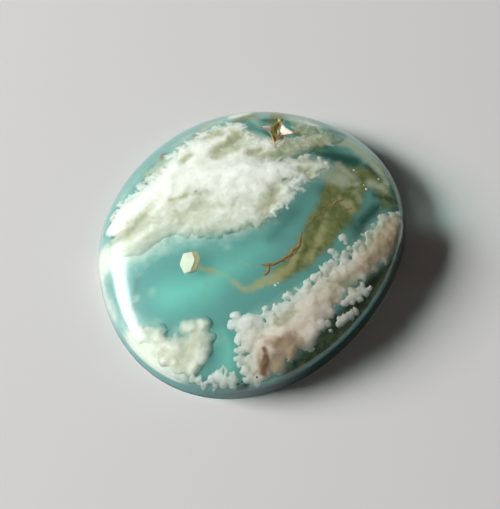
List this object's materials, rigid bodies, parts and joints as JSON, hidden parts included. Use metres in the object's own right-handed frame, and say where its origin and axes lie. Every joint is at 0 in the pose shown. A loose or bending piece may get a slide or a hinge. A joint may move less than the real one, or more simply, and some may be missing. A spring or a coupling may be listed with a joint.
{
  "type": "dendritic agate cabochon",
  "caption": "Freeform oval agate cabochon with a polished dome, leaning wall, flat back and a small star-shaped crystal cavity.",
  "frame": {"origin": "on the flat back, under the middle of the stone's box", "axes": "+X along the stone's longest extent, +Z through its thickness from the flat back to the dome"},
  "size_m": [0.04, 0.0348, 0.007],
  "materials": {
    "agate": "polished, translucent teal with white plume inclusions"
  },
  "bodies": {
    "root": {"agate_cabochon": "agate"}
  },
  "joints": []
}
